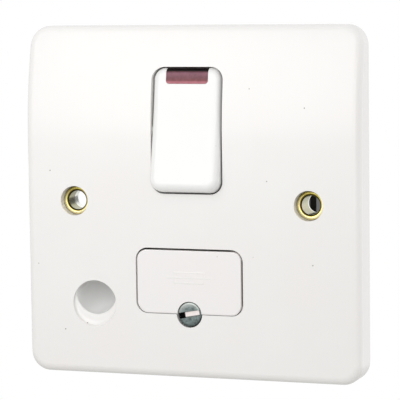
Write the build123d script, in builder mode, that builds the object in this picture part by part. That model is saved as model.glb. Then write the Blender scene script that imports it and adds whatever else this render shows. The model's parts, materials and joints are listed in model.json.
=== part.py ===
from build123d import *
import os
from math import asin, cos, radians, sin, sqrt

# Switched fused connection unit. Millimetres, X right, Z up, the front faces -Y.
# The origin is the centre of the plate's back, on the wall.

# Front plate
plate_size = 86.0
plate_depth = 8.0
plate_wall = 2.4
plate_corner = 5.0
plate_edge = 2.0
shoulder_start = 15.0
shoulder_radius = 95.0
skirt_wall = 1.8
skirt_end = -0.5
stiffener_rows = [20.0, 29.0]
stiffener_width = 1.2
stiffener_back = -3.0

# Fixing eyelets
fixing_spacing = 60.3
eyelet_bore_r = 2.3
eyelet_wall = 0.4
eyelet_roll_width = 1.3
eyelet_roll_height = 0.55
eyelet_sink = 1.8
eyelet_flare_r = 3.4
eyelet_fit = 0.05
eyelet_boss_wall = 1.2

# Rocker switch
rocker_x = -0.6
rocker_z = 17.6
rocker_open_width = 18.3
rocker_open_height = 30.8
rocker_open_corner = 3.2
rocker_side_gap = 0.3
rocker_end_gap = 0.2
rocker_throw = 20.0
rocker_pivot_y = -5.6
rocker_sink = 0.8
rocker_dish = 0.4
rocker_wall = 1.6
rocker_roof = 2.0
rocker_skirt = 4.1
rocker_edge = 1.8
rocker_corner = 3.0
trunnion_r = 1.2
trunnion_fit = 0.05

# Indicator lens and lamp
lens_width = 10.8
lens_drop = 10.9
lens_corner = 0.8
lens_fit = 0.05
lamp_r = 2.0
lamp_length = 9.0
lamp_y = 4.2
lamp_z = 31.0
lamp_seat_gap = 0.1
lamp_round = 1.2

# Switch works
pole_x = 4.2
plunger_r = 1.5
plunger_fit = 0.05
plunger_length = 7.2
plunger_reach = 12.9
plunger_round = 1.0
tube_wall = 0.65
tube_reach = 9.6
spring_wire = 0.4
spring_turns = 5
contact_swing = 10.0
contact_pivot_y = 8.0
blade_width = 4.0
blade_thickness = 0.8
blade_up = 8.8
blade_down = 7.0
blade_corner = 1.2
pivot_rib_r = 0.8
tip_r = 1.5
tip_height = 0.6
tip_rise = 7.2
tip_gap = 0.25
post_gap = 0.2
post_thickness = 1.2
fixed_tip_land = 0.5

# Fuse and its carrier
fuse_x = -0.3
fuse_open_z = -19.2
fuse_open_width = 27.7
fuse_open_height = 16.2
fuse_open_corner = 3.0
carrier_gap = 0.3
carrier_face = 2.8
carrier_edge = 0.35
cradle_width = 11.4
cradle_height = 10.0
cradle_back = 2.2
cradle_grip = 0.8
rib_width = 1.2
fuse_y = 5.0
fuse_z = -18.0
fuse_r = 3.175
fuse_length = 25.4
cap_length = 6.4
cap_wall = 0.3
fuse_fit = 0.08
clip_width = 5.0
clip_leaf = 0.6
clip_fit = 0.12
clip_reach = 2.4

# Carrier screw
screw_z = -27.2
screw_head_r = 3.05
screw_head_height = 1.7
screw_head_round = 0.6
screw_head_gap = 0.25
screw_lug_r = 3.0
screw_shank_r = 1.5
screw_shank_length = 14.0
screw_fit = 0.1
slot_width = 1.5
slot_depth = 1.1
slot_turn = 10.0
insert_r = 2.1
insert_front = 2.0
insert_length = 9.0
insert_post_wall = 1.1

# Flex outlet
flex_x = -25.15
flex_z = -25.4
flex_mouth_r = 5.75
flex_bore_r = 5.2
flex_rise = 2.3
flex_mouth_depth = 1.3
flex_wall = 1.2
flex_bend = 6.6

# Cord clamp
clamp_x = -27.3
clamp_z = -11.5
clamp_spacing = 13.0
clamp_post_r = 2.5
clamp_post_end = 2.0
clamp_bar_length = 17.6
clamp_bar_width = 5.0
clamp_bar_thickness = 2.5
clamp_bar_corner = 2.0
clamp_saddle_width = 4.0
clamp_screw_r = 1.4
clamp_screw_length = 5.5
clamp_head_r = 2.3
clamp_head_height = 1.6
clamp_arch_r = 4.2
clamp_arch_rise = 1.0

# Rear base
base_boss_gap = 0.25
base_top = 37.0
base_bottom = -37.0
base_notch_x = -17.5
base_notch_z = -6.0
base_front = -2.0
base_back = 18.0
base_wall = 2.0
base_corner = 2.6
base_back_round = 0.8
base_screw_spots = [(-22.0, 12.0), (22.0, 14.0), (22.0, -12.2), (-12.3, -32.3)]
base_post_r = 3.4
base_screw_r = 1.4
base_screw_length = 9.2
base_screw_hole_r = 1.6
base_head_r = 2.6
base_head_height = 1.8
base_seat = 4.0
base_head_room = 0.3
pilot_room = 0.3
head_round = 0.3
base_screw_turn = 30.0

# Terminals and strips
terminal_width = 7.0
terminal_height = 10.0
terminal_depth = 9.0
terminal_clear = 0.2
terminal_corner = 0.5
terminal_screw_turn = 45.0
load_height = 6.6
neutral_load_x = 9.2
earth_height = 16.0
earth_wire_spacing = 8.4
wire_r = 2.3
wire_y = 10.0
wire_entry_gap = 0.4
strip_thickness = 0.8
feed_strip_width = 4.0
strip_width = 4.0
neutral_strip_left = 3.4
neutral_strip_right = 6.2
terminal_screw_r = 1.7
terminal_screw_fit = 0.05
terminal_head_r = 2.6
terminal_head_height = 1.5
terminal_access_r = 3.2
driver_slot = 0.8
earth_strap_width = 5.0
earth_strap_thickness = 0.8
earth_ring_margin = 0.6

# Slack allowed when an edge is picked by its place or radius
pick_slack = 0.01

# Places worked out from the sizes above
half_plate = plate_size / 2
eyelet_x = fixing_spacing / 2
tube_r = eyelet_bore_r + eyelet_wall
eyelet_boss_r = tube_r + eyelet_boss_wall
eyelet_lip_r = eyelet_bore_r + eyelet_roll_width
eyelet_seat = eyelet_sink + eyelet_roll_height - plate_depth
base_half_width = eyelet_x - eyelet_boss_r - base_boss_gap
floor_y = base_back - base_wall
fuse_bottom_z = fuse_open_z - fuse_open_height / 2
plate_inner = plate_wall - plate_depth
terminal_x = base_half_width - base_wall - terminal_clear - terminal_width / 2
terminal_z = base_top - base_wall - terminal_clear - terminal_height / 2
load_z = base_bottom + base_wall + terminal_clear + load_height / 2
earth_wires = (-earth_wire_spacing / 2, earth_wire_spacing / 2)
clip_x = fuse_length / 2 - cap_length / 2
clip_y = floor_y - strip_thickness
flare_y = -eyelet_wall
earth_strap_y = flare_y - earth_strap_thickness
live_x = rocker_x - pole_x
neutral_x = rocker_x + pole_x


def facing(y):
    """Sketch plane parallel to the wall at depth y, seen from the front: X right, Z up, out to -Y."""
    return Plane.XZ.offset(-y)


def shell_form(inset, back=0.0):
    """The plate's outer form pulled in by inset at its front and sides, as far back as y = back."""
    half = half_plate - inset
    front = inset - plate_depth
    radius = shoulder_radius - inset
    drop = radius - sqrt(radius**2 - (half - shoulder_start) ** 2)
    with BuildPart() as form:
        with BuildSketch(Plane.YZ):
            with BuildLine():
                Polyline((back, half), (back, -half), (front, -half), (front, shoulder_start))
                shoulder = TangentArc((front, shoulder_start), (front + drop, half), tangent=(0, 1))
                Line(shoulder @ 1, (back, half))
            make_face()
        extrude(amount=half, both=True)
        with BuildSketch(facing(back)):
            RectangleRounded(2 * half, 2 * half, plate_corner - inset)
        extrude(amount=back - front, mode=Mode.INTERSECT)
    return form.part


def slotted_screw(spot, seat_y, shank, head, slot, out, turn=0.0, rim=head_round):
    """Cheese-head screw along Y. shank and head are (radius, length), slot is (width, depth).

    out is -1 for a head in front of its seat and 1 for a head behind it. rim rounds the head's edge.
    """
    with BuildPart() as screw:
        with BuildSketch(facing(seat_y)):
            with Locations(spot):
                Circle(head[0])
        extrude(amount=-out * head[1])
        head_rim = screw.edges().filter_by(GeomType.CIRCLE).group_by(Axis.Y)[-1 if out > 0 else 0]
        fillet(head_rim, rim)
        with BuildSketch(facing(seat_y)):
            with Locations(spot):
                Circle(shank[0])
        extrude(amount=out * shank[1])
        with BuildSketch(facing(seat_y + out * head[1])):
            with Locations(spot):
                Rectangle(3 * head[0], slot[0], rotation=turn)
        extrude(amount=out * slot[1], mode=Mode.SUBTRACT)
    return screw.part


def base_outline(inset):
    """Outline of the rear base seen from the front, pulled in by inset, with its notch for the flex."""
    left = inset - base_half_width
    right = base_half_width - inset
    top = base_top - inset
    bottom = base_bottom + inset
    notch_x = base_notch_x + inset
    notch_z = base_notch_z + inset
    with BuildSketch() as outline:
        with BuildLine():
            Polyline(
                (left, top),
                (right, top),
                (right, bottom),
                (notch_x, bottom),
                (notch_x, notch_z),
                (left, notch_z),
                close=True,
            )
        make_face()
        fillet(outline.vertices(), base_corner - inset)
    return outline.sketch


def floor_strip(left, right, bottom, top):
    """Sketch of a flat conductor on the base's floor between the given edges."""
    with Locations(((left + right) / 2, (bottom + top) / 2)):
        Rectangle(right - left, top - bottom)


def terminal_block(x, z, height, bores, across):
    """Brass pillar on the base's floor with wire bores and screw holes; across turns the bores along X."""
    with BuildPart() as block:
        with BuildSketch(facing(floor_y)):
            with Locations((x, z)):
                Rectangle(terminal_width, height)
        extrude(amount=terminal_depth)
        fillet(block.edges().filter_by(Axis.Y), terminal_corner)
        for bore_z in bores:
            wire_plane = Plane.YZ.offset(x) if across else Plane.XY.offset(z)
            with BuildSketch(wire_plane):
                with Locations((wire_y, bore_z) if across else (x, wire_y)):
                    Circle(wire_r)
            extrude(amount=terminal_width + height, both=True, mode=Mode.SUBTRACT)
            with BuildSketch(facing(floor_y)):
                with Locations((x, bore_z)):
                    Circle(terminal_screw_r + terminal_screw_fit)
            extrude(amount=floor_y - wire_y, mode=Mode.SUBTRACT)
    return block.part


def write(part, name):
    """Label one finished piece and write it to its own file."""
    part.label = name
    export_step(part, f"parts/{name}.step")


os.makedirs("parts", exist_ok=True)

# Bosses, skirts and the flex elbow that stand behind the plate's face
with BuildPart() as plate_works:
    with BuildSketch(facing(skirt_end)):
        with Locations((rocker_x, rocker_z)):
            RectangleRounded(
                rocker_open_width + 2 * skirt_wall,
                rocker_open_height + 2 * skirt_wall,
                rocker_open_corner + skirt_wall,
            )
    extrude(amount=skirt_end + plate_depth)
    with BuildSketch(facing(base_front)):
        with Locations((fuse_x, fuse_open_z)):
            RectangleRounded(
                fuse_open_width + 2 * skirt_wall,
                fuse_open_height + 2 * skirt_wall,
                fuse_open_corner + skirt_wall,
            )
        with Locations((fuse_x, screw_z)):
            Circle(screw_head_r + screw_head_gap + skirt_wall)
        with Locations(*base_screw_spots):
            Circle(base_post_r)
        with Locations((-eyelet_x, 0)):
            Circle(eyelet_boss_r)
    extrude(amount=base_front + plate_depth)
    with BuildSketch(facing(flare_y)):
        with Locations((-eyelet_x, 0)):
            Circle(eyelet_boss_r)
    extrude(amount=flare_y + plate_depth)
    with BuildSketch(facing(earth_strap_y)):
        with Locations((eyelet_x, 0)):
            Circle(eyelet_boss_r)
    extrude(amount=earth_strap_y + plate_depth)
    with BuildSketch(facing(clamp_post_end)):
        with Locations((clamp_x, clamp_z)):
            with GridLocations(clamp_spacing, 1, 2, 1):
                Circle(clamp_post_r)
    extrude(amount=clamp_post_end + plate_depth)
    # Ribs that stiffen the plate behind its shoulder
    with BuildSketch(facing(stiffener_back)):
        with Locations(*[(0, z) for z in stiffener_rows]):
            Rectangle(plate_size, stiffener_width)
    extrude(amount=stiffener_back + plate_depth)
    # Saddle under the cord
    with BuildSketch(facing(plate_inner + clamp_arch_rise)):
        with Locations((clamp_x, clamp_z)):
            Rectangle(clamp_spacing, clamp_saddle_width)
    extrude(amount=clamp_arch_rise + plate_wall)
    # Elbow that turns the flex up behind the plate
    elbow_y = flex_mouth_depth - plate_depth
    bore_z = flex_z + flex_rise
    elbow_axis = Axis((flex_x, elbow_y, bore_z + flex_bend), (1, 0, 0))
    with BuildSketch(facing(elbow_y)):
        with Locations((flex_x, bore_z)):
            Circle(flex_bore_r + flex_wall)
    extrude(amount=flex_mouth_depth)
    with BuildSketch(facing(elbow_y)):
        with Locations((flex_x, bore_z)):
            Circle(flex_bore_r + flex_wall)
    revolve(axis=elbow_axis, revolution_arc=90)
    add(shell_form(plate_wall / 2, back=base_back), mode=Mode.INTERSECT)

# Front plate: curved-shoulder shell with its apertures
with BuildPart() as front_plate:
    add(shell_form(0))
    rim = front_plate.edges().filter_by(Axis.Y, reverse=True)
    rim = rim.filter_by(lambda e: e.bounding_box().max.Y < -plate_edge)
    rim = rim.filter_by(
        lambda e: e.bounding_box().size.Z > pick_slack or abs(e.center().Z) > half_plate - pick_slack
    )
    fillet(rim, plate_edge)
    add(shell_form(plate_wall), mode=Mode.SUBTRACT)
    add(plate_works.part)
    # Rocker aperture and the bearings for its trunnions
    with BuildSketch(facing(base_back)):
        with Locations((rocker_x, rocker_z)):
            RectangleRounded(rocker_open_width, rocker_open_height, rocker_open_corner)
    extrude(amount=base_back + 2 * plate_depth, mode=Mode.SUBTRACT)
    with BuildSketch(Plane.YZ.offset(rocker_x)):
        with Locations((rocker_pivot_y, rocker_z)):
            Circle(trunnion_r + trunnion_fit)
    extrude(amount=rocker_open_width / 2 + 2 * skirt_wall, both=True, mode=Mode.SUBTRACT)
    # Fuse aperture with the notch for the screw head
    with BuildSketch(facing(base_back)):
        with Locations((fuse_x, fuse_open_z)):
            RectangleRounded(fuse_open_width, fuse_open_height, fuse_open_corner)
        with Locations((fuse_x, screw_z)):
            Circle(screw_head_r + screw_head_gap)
    extrude(amount=base_back + 2 * plate_depth, mode=Mode.SUBTRACT)
    # Flex outlet: a mouth that ramps down to the front, then the elbow's bore
    with BuildSketch(facing(-plate_depth)) as flex_mouth:
        with Locations((flex_x, flex_z)):
            Circle(flex_mouth_r)
    with BuildSketch(facing(elbow_y)) as flex_throat:
        with Locations((flex_x, bore_z)):
            Circle(flex_bore_r)
    loft(mode=Mode.SUBTRACT)
    with BuildSketch(facing(elbow_y)):
        with Locations((flex_x, bore_z)):
            Circle(flex_bore_r)
    revolve(axis=elbow_axis, revolution_arc=90, mode=Mode.SUBTRACT)
    # Seats for the eyelets
    for side in (-1, 1):
        with BuildSketch(Plane.XY):
            with BuildLine():
                Polyline(
                    (side * eyelet_x, -plate_depth),
                    (side * eyelet_x + eyelet_lip_r + eyelet_fit, -plate_depth),
                    (side * eyelet_x + eyelet_lip_r + eyelet_fit, eyelet_seat),
                    (side * eyelet_x + tube_r + eyelet_fit, eyelet_seat),
                    (side * eyelet_x + tube_r + eyelet_fit, 0),
                    (side * eyelet_x, 0),
                    close=True,
                )
            make_face()
        revolve(axis=Axis((side * eyelet_x, 0, 0), (0, 1, 0)), mode=Mode.SUBTRACT)
    # Pilot holes for the base screws and the clamp screws
    with BuildSketch(facing(base_front)):
        with Locations(*base_screw_spots):
            Circle(base_screw_r)
    extrude(amount=base_screw_length - (base_seat - base_front) + pilot_room, mode=Mode.SUBTRACT)
    with BuildSketch(facing(clamp_post_end)):
        with Locations((clamp_x, clamp_z)):
            with GridLocations(clamp_spacing, 1, 2, 1):
                Circle(clamp_screw_r)
    extrude(amount=clamp_screw_length - clamp_bar_thickness + pilot_room, mode=Mode.SUBTRACT)
write(front_plate.part, "front_plate")

# Eyelets: pressed brass tubes with a rolled front lip, sunk in the plate, and a flared rear end
for side, name in ((-1, "eyelet_left"), (1, "eyelet_right")):
    centre_x = side * eyelet_x
    bore_x = centre_x + eyelet_bore_r
    lip_x = centre_x + eyelet_lip_r
    with BuildPart() as eyelet:
        with BuildSketch(Plane.XY):
            with BuildLine():
                ThreePointArc(
                    (lip_x, eyelet_seat),
                    ((bore_x + lip_x) / 2, eyelet_seat - eyelet_roll_height),
                    (bore_x, eyelet_seat),
                )
                Polyline(
                    (bore_x, eyelet_seat),
                    (bore_x, 0),
                    (centre_x + eyelet_flare_r, 0),
                    (centre_x + eyelet_flare_r, flare_y),
                    (centre_x + tube_r, flare_y),
                    (centre_x + tube_r, eyelet_seat),
                    (lip_x, eyelet_seat),
                )
            make_face()
        revolve(axis=Axis((centre_x, 0, 0), (0, 1, 0)))
    write(eyelet.part, name)

# Rocker, tilted about its trunnions so that its top is in and its foot stands proud
off_tilt = radians(rocker_throw / 2)
rocker_plane = Plane(
    origin=(rocker_x, rocker_pivot_y, rocker_z),
    x_dir=(1, 0, 0),
    z_dir=(0, -cos(off_tilt), sin(off_tilt)),
)
rocker_side = Plane(origin=rocker_plane.origin, x_dir=rocker_plane.z_dir, z_dir=(-1, 0, 0))
rocker_half_width = rocker_open_width / 2 - rocker_side_gap
rocker_end_r = rocker_open_height / 2 - rocker_end_gap
# The pressed end lies rocker_sink in front of the pivot, level with the plate
sink_angle = asin(rocker_sink / rocker_end_r)
face_angle = sink_angle + off_tilt
face_w = rocker_end_r * sin(face_angle)
face_u = rocker_end_r * cos(face_angle)
skirt_u = sqrt(rocker_end_r**2 - rocker_skirt**2)
roof_w = face_w - rocker_dish - rocker_roof

with BuildPart() as rocker_form:
    with BuildSketch(rocker_side):
        with BuildLine():
            ThreePointArc((face_w, -face_u), (face_w - rocker_dish, 0), (face_w, face_u))
            ThreePointArc((face_w, face_u), (0, rocker_end_r), (-rocker_skirt, skirt_u))
            Line((-rocker_skirt, skirt_u), (-rocker_skirt, -skirt_u))
            ThreePointArc((-rocker_skirt, -skirt_u), (0, -rocker_end_r), (face_w, -face_u))
        make_face()
    extrude(amount=rocker_half_width, both=True)
    uprights = rocker_form.edges().filter_by(GeomType.CIRCLE)
    uprights = uprights.filter_by(lambda e: abs(e.radius - rocker_end_r) < pick_slack)
    fillet(uprights, rocker_corner)
    face_rim = rocker_form.faces().sort_by(rocker_plane.location.z_axis)[-1].outer_wire().edges()
    fillet(face_rim, rocker_edge)

with BuildPart() as lens_window:
    with BuildSketch(rocker_plane.offset(roof_w - rocker_roof)):
        with Locations((0, lens_drop + rocker_end_r / 2)):
            RectangleRounded(lens_width, rocker_end_r, lens_corner)
    extrude(amount=rocker_end_r)

with BuildPart() as rocker:
    add(rocker_form.part)
    add(lens_window.part, mode=Mode.SUBTRACT)
    with BuildSketch(rocker_plane.offset(-rocker_skirt)):
        RectangleRounded(
            2 * (rocker_half_width - rocker_wall),
            2 * (face_u - rocker_wall),
            rocker_corner - rocker_wall,
        )
    extrude(amount=rocker_skirt + roof_w, mode=Mode.SUBTRACT)
    # Plunger tubes under the roof
    with BuildSketch(rocker_plane.offset(-tube_reach)):
        with GridLocations(2 * pole_x, 1, 2, 1):
            Circle(plunger_r + plunger_fit + tube_wall)
    extrude(amount=tube_reach + roof_w + rocker_roof / 2)
    with BuildSketch(rocker_plane.offset(-tube_reach)):
        with GridLocations(2 * pole_x, 1, 2, 1):
            Circle(plunger_r + plunger_fit)
    extrude(amount=tube_reach + roof_w, mode=Mode.SUBTRACT)
    # Trunnions that turn in the plate's skirt
    trunnion_root = rocker_half_width - rocker_wall / 2
    trunnion_length = skirt_wall + rocker_side_gap + rocker_wall / 2
    for side in (-1, 1):
        with BuildSketch(Plane.YZ.offset(rocker_x + side * trunnion_root)):
            with Locations((rocker_pivot_y, rocker_z)):
                Circle(trunnion_r)
        extrude(amount=side * trunnion_length)
write(rocker.part, "rocker")

with BuildPart() as neon_lens:
    add(rocker_form.part)
    with BuildSketch(rocker_plane.offset(roof_w)):
        with Locations((0, lens_drop + rocker_end_r / 2)):
            RectangleRounded(lens_width - 2 * lens_fit, rocker_end_r - 2 * lens_fit, lens_corner - lens_fit)
    extrude(amount=rocker_end_r, mode=Mode.INTERSECT)
write(neon_lens.part, "neon_lens")

# Lamp behind the lens, on a seat in the base
with BuildPart() as neon_lamp:
    with BuildSketch(Plane.YZ.offset(rocker_x)):
        with Locations((lamp_y, lamp_z)):
            Circle(lamp_r)
    extrude(amount=lamp_length / 2, both=True)
    fillet(neon_lamp.edges(), lamp_round)
write(neon_lamp.part, "neon_lamp")

# Spring-loaded plungers that ride in the rocker and tip the moving contacts
for side, name in ((-1, "live"), (1, "neutral")):
    with BuildPart() as plunger:
        with BuildSketch(rocker_plane.offset(-plunger_reach)):
            with Locations((side * pole_x, 0)):
                Circle(plunger_r)
        extrude(amount=plunger_length)
        fillet(plunger.faces().sort_by(Axis.Y)[-1].edges(), plunger_round)
    write(plunger.part, f"plunger_{name}")

    spring_foot = plunger_length - plunger_reach + spring_wire / 2
    spring_height = roof_w - spring_wire / 2 - spring_foot
    with BuildPart() as spring:
        with BuildLine():
            coil = Helix(
                pitch=spring_height / spring_turns,
                height=spring_height,
                radius=plunger_r - spring_wire / 2,
                center=rocker_plane.from_local_coords((side * pole_x, 0, spring_foot)),
                direction=rocker_plane.z_dir,
            )
        with BuildSketch(Plane(origin=coil @ 0, z_dir=coil % 0)):
            Circle(spring_wire / 2)
        sweep()
    write(spring.part, f"plunger_spring_{name}")

# Moving contacts: see-saw blades with a rivet tip and a pressed rib to rock on, shown open
half_swing = radians(contact_swing / 2)
for pole, name in ((live_x, "live"), (neutral_x, "neutral")):
    blade_plane = Plane(
        origin=(pole, contact_pivot_y, rocker_z),
        x_dir=(1, 0, 0),
        z_dir=(0, -cos(half_swing), -sin(half_swing)),
    )
    with BuildPart() as moving_contact:
        with BuildSketch(blade_plane.offset(-blade_thickness / 2)):
            with Locations((0, (blade_up - blade_down) / 2)):
                RectangleRounded(blade_width, blade_up + blade_down, blade_corner)
        extrude(amount=blade_thickness)
        with BuildSketch(blade_plane.offset(-blade_thickness / 2)):
            with Locations((0, tip_rise)):
                Circle(tip_r)
        extrude(amount=-tip_height)
        with BuildSketch(Plane.YZ.offset(pole)):
            with Locations((contact_pivot_y, rocker_z)):
                Circle(pivot_rib_r)
            with Locations((contact_pivot_y - pivot_rib_r, rocker_z)):
                Rectangle(2 * pivot_rib_r, 2 * pivot_rib_r, mode=Mode.SUBTRACT)
        extrude(amount=blade_width / 2, both=True)
    write(moving_contact.part, f"moving_contact_{name}")

# Feed terminals with the fixed contacts that the blades close on
fixed_tip_y = contact_pivot_y + blade_thickness / 2 + tip_height + tip_gap
fixed_tip_y += (tip_rise + tip_r) * sin(half_swing)
tip_z = rocker_z + tip_rise
for side, name in ((-1, "feed_live_terminal"), (1, "feed_neutral_terminal")):
    with BuildPart() as feed_terminal:
        add(terminal_block(side * terminal_x, terminal_z, terminal_height, (terminal_z,), across=False))
        strip_near = rocker_x + side * (pole_x - tip_r - fixed_tip_land)
        strip_far = side * (terminal_x - terminal_width / 2 + strip_thickness)
        with BuildSketch(facing(fixed_tip_y + tip_height + strip_thickness)):
            with Locations(((strip_near + strip_far) / 2, tip_z)):
                Rectangle(side * (strip_far - strip_near), feed_strip_width)
        extrude(amount=strip_thickness)
        with BuildSketch(facing(fixed_tip_y + tip_height)):
            with Locations((rocker_x + side * pole_x, tip_z)):
                Circle(tip_r)
        extrude(amount=tip_height)
    write(feed_terminal.part, name)

# Load side: conductors on the floor, each with the post that its blade rocks on
post_tip_y = contact_pivot_y + pivot_rib_r + post_gap
strip_top = rocker_z + strip_width / 2
clip_left = fuse_x - clip_x - clip_width / 2
clip_right = fuse_x + clip_x - clip_width / 2
fuse_strip = (fuse_z - strip_width / 2, fuse_z + strip_width / 2)
with BuildPart() as live_bridge:
    with BuildSketch(facing(floor_y)):
        live_right = live_x + strip_width / 2
        floor_strip(live_right - strip_width, live_right, fuse_strip[0], strip_top)
        floor_strip(clip_left, live_right, *fuse_strip)
    extrude(amount=strip_thickness)
    with BuildSketch(facing(floor_y)):
        with Locations((live_x, rocker_z)):
            Rectangle(blade_width, post_thickness)
    extrude(amount=floor_y - post_tip_y)
write(live_bridge.part, "live_bridge")

with BuildPart() as load_neutral_terminal:
    add(terminal_block(neutral_load_x, load_z, load_height, (load_z,), across=False))
    with BuildSketch(facing(floor_y)):
        floor_strip(neutral_strip_left, neutral_strip_right, load_z, strip_top)
    extrude(amount=strip_thickness)
    with BuildSketch(facing(floor_y)):
        with Locations((neutral_x, rocker_z)):
            Rectangle(blade_width, post_thickness)
    extrude(amount=floor_y - post_tip_y)
write(load_neutral_terminal.part, "load_neutral_terminal")

with BuildPart() as load_live_terminal:
    load_top = load_z + load_height / 2
    add(terminal_block(terminal_x, load_z, load_height, (load_z,), across=False))
    with BuildSketch(facing(floor_y)):
        floor_strip(clip_right, terminal_x + strip_width / 2, *fuse_strip)
        drop_left = terminal_x - strip_width / 2
        drop_bottom = load_top - strip_thickness
        floor_strip(drop_left, drop_left + strip_width, drop_bottom, fuse_strip[1])
    extrude(amount=strip_thickness)
write(load_live_terminal.part, "load_live_terminal")

with BuildPart() as earth_terminal:
    add(terminal_block(terminal_x, 0, earth_height, earth_wires, across=True))
write(earth_terminal.part, "earth_terminal")

# Earth strap from the right eyelet's flare down to the earth terminal
with BuildPart() as earth_strap:
    strap_left = terminal_x - earth_strap_thickness / 2
    strap_right = eyelet_x + eyelet_flare_r
    with BuildSketch(facing(earth_strap_y + earth_strap_thickness)):
        with Locations(((strap_left + strap_right) / 2, 0)):
            Rectangle(strap_right - strap_left, earth_strap_width)
        with Locations((eyelet_x, 0)):
            Circle(eyelet_flare_r + earth_ring_margin)
            Circle(tube_r + eyelet_fit, mode=Mode.SUBTRACT)
    extrude(amount=earth_strap_thickness)
    with BuildSketch(facing(floor_y - terminal_depth)):
        with Locations((terminal_x, 0)):
            Rectangle(earth_strap_thickness, earth_strap_width)
    extrude(amount=floor_y - terminal_depth - earth_strap_y)
write(earth_strap.part, "earth_strap")

# Terminal screws, reached through the back of the base
terminal_shank = (terminal_screw_r, floor_y - wire_y - wire_r - terminal_screw_fit)
screw_spots = [(-terminal_x, terminal_z), (terminal_x, terminal_z)]
screw_spots += [(terminal_x, load_z), (neutral_load_x, load_z)]
screw_spots += [(terminal_x, z) for z in earth_wires]
terminal_screws = Compound(
    [
        slotted_screw(
            spot,
            floor_y,
            terminal_shank,
            (terminal_head_r, terminal_head_height),
            (driver_slot, terminal_head_height / 2),
            out=1,
            turn=terminal_screw_turn,
        )
        for spot in screw_spots
    ]
)
write(terminal_screws, "terminal_screws")

# Fuse: ceramic tube with two metal caps, held across the carrier's cradle
body_r = fuse_r - cap_wall
with BuildPart() as fuse_body:
    with BuildSketch(Plane.YZ.offset(fuse_x)):
        with Locations((fuse_y, fuse_z)):
            Circle(body_r)
    extrude(amount=fuse_length / 2 - cap_wall, both=True)
write(fuse_body.part, "fuse_body")

with BuildPart() as fuse_caps:
    for side in (-1, 1):
        with BuildSketch(Plane.YZ.offset(fuse_x + side * (fuse_length / 2 - cap_length))):
            with Locations((fuse_y, fuse_z)):
                Circle(fuse_r)
        extrude(amount=side * cap_length)
        with BuildSketch(Plane.YZ.offset(fuse_x + side * (fuse_length / 2 - cap_length))):
            with Locations((fuse_y, fuse_z)):
                Circle(body_r)
        extrude(amount=side * (cap_length - cap_wall), mode=Mode.SUBTRACT)
write(fuse_caps.part, "fuse_caps")

# Spring clips that take the fuse's caps from the front
leaf_z = fuse_r + clip_fit + clip_leaf / 2
clip_foot = clip_y - clip_leaf / 2
clip_mouth = fuse_y - clip_reach
for side, name in ((-1, "fuse_clip_left"), (1, "fuse_clip_right")):
    with BuildPart() as fuse_clip:
        with BuildSketch(Plane.YZ.offset(fuse_x + side * clip_x - clip_width / 2)):
            with BuildLine():
                Polyline(
                    (clip_mouth - clip_leaf, fuse_z + leaf_z + clip_leaf),
                    (clip_mouth, fuse_z + leaf_z),
                    (clip_foot, fuse_z + leaf_z),
                    (clip_foot, fuse_z - leaf_z),
                    (clip_mouth, fuse_z - leaf_z),
                    (clip_mouth - clip_leaf, fuse_z - leaf_z - clip_leaf),
                )
            trace(line_width=clip_leaf)
        extrude(amount=clip_width)
    write(fuse_clip.part, name)

# Fuse carrier: flush face, lug for its screw, ribs and the cradle that grips the fuse
carrier_back = carrier_face - plate_depth
screw_seat = screw_head_height - plate_depth
with BuildPart() as fuse_carrier:
    with BuildSketch(facing(carrier_back)):
        with Locations((fuse_x, fuse_open_z)):
            RectangleRounded(
                fuse_open_width - 2 * carrier_gap,
                fuse_open_height - 2 * carrier_gap,
                fuse_open_corner - carrier_gap,
            )
    extrude(amount=carrier_face)
    fillet(fuse_carrier.faces().sort_by(Axis.Y)[0].edges(), carrier_edge)
    with BuildSketch(facing(screw_seat)):
        with Locations((fuse_x, screw_z)):
            Circle(screw_head_r + screw_head_gap)
    extrude(amount=screw_head_height, mode=Mode.SUBTRACT)
    with BuildSketch(facing(base_front)):
        with Locations((fuse_x, screw_z)):
            Circle(screw_lug_r)
    extrude(amount=base_front - screw_seat)
    with BuildSketch(facing(fuse_y + cradle_back)):
        with Locations((fuse_x, fuse_z)):
            Rectangle(cradle_width, cradle_height)
    extrude(amount=fuse_y + cradle_back - carrier_back + carrier_face / 2)
    with BuildSketch(facing(0)):
        with Locations((fuse_x, fuse_open_z)):
            with GridLocations(fuse_open_width - 2 * carrier_face, 1, 2, 1):
                Rectangle(rib_width, cradle_height)
    extrude(amount=carrier_face / 2 - carrier_back)
    with BuildSketch(Plane.YZ.offset(fuse_x)):
        with Locations((fuse_y, fuse_z)):
            Circle(body_r + fuse_fit)
        with Locations((fuse_y + cradle_back, fuse_z)):
            Rectangle(2 * cradle_back, 2 * body_r * cradle_grip)
    extrude(amount=cradle_width, both=True, mode=Mode.SUBTRACT)
    with BuildSketch(facing(base_front)):
        with Locations((fuse_x, screw_z)):
            Circle(screw_shank_r + screw_fit)
    extrude(amount=plate_depth, mode=Mode.SUBTRACT)
write(fuse_carrier.part, "fuse_carrier")

carrier_screw = slotted_screw(
    (fuse_x, screw_z),
    screw_seat,
    (screw_shank_r, screw_shank_length),
    (screw_head_r, screw_head_height),
    (slot_width, slot_depth),
    out=-1,
    turn=slot_turn,
    rim=screw_head_round,
)
write(carrier_screw, "carrier_screw")

with BuildPart() as carrier_insert:
    with BuildSketch(facing(insert_front + insert_length)):
        with Locations((fuse_x, screw_z)):
            Circle(insert_r)
            Circle(screw_shank_r + screw_fit, mode=Mode.SUBTRACT)
    extrude(amount=insert_length)
write(carrier_insert.part, "carrier_insert")

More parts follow.
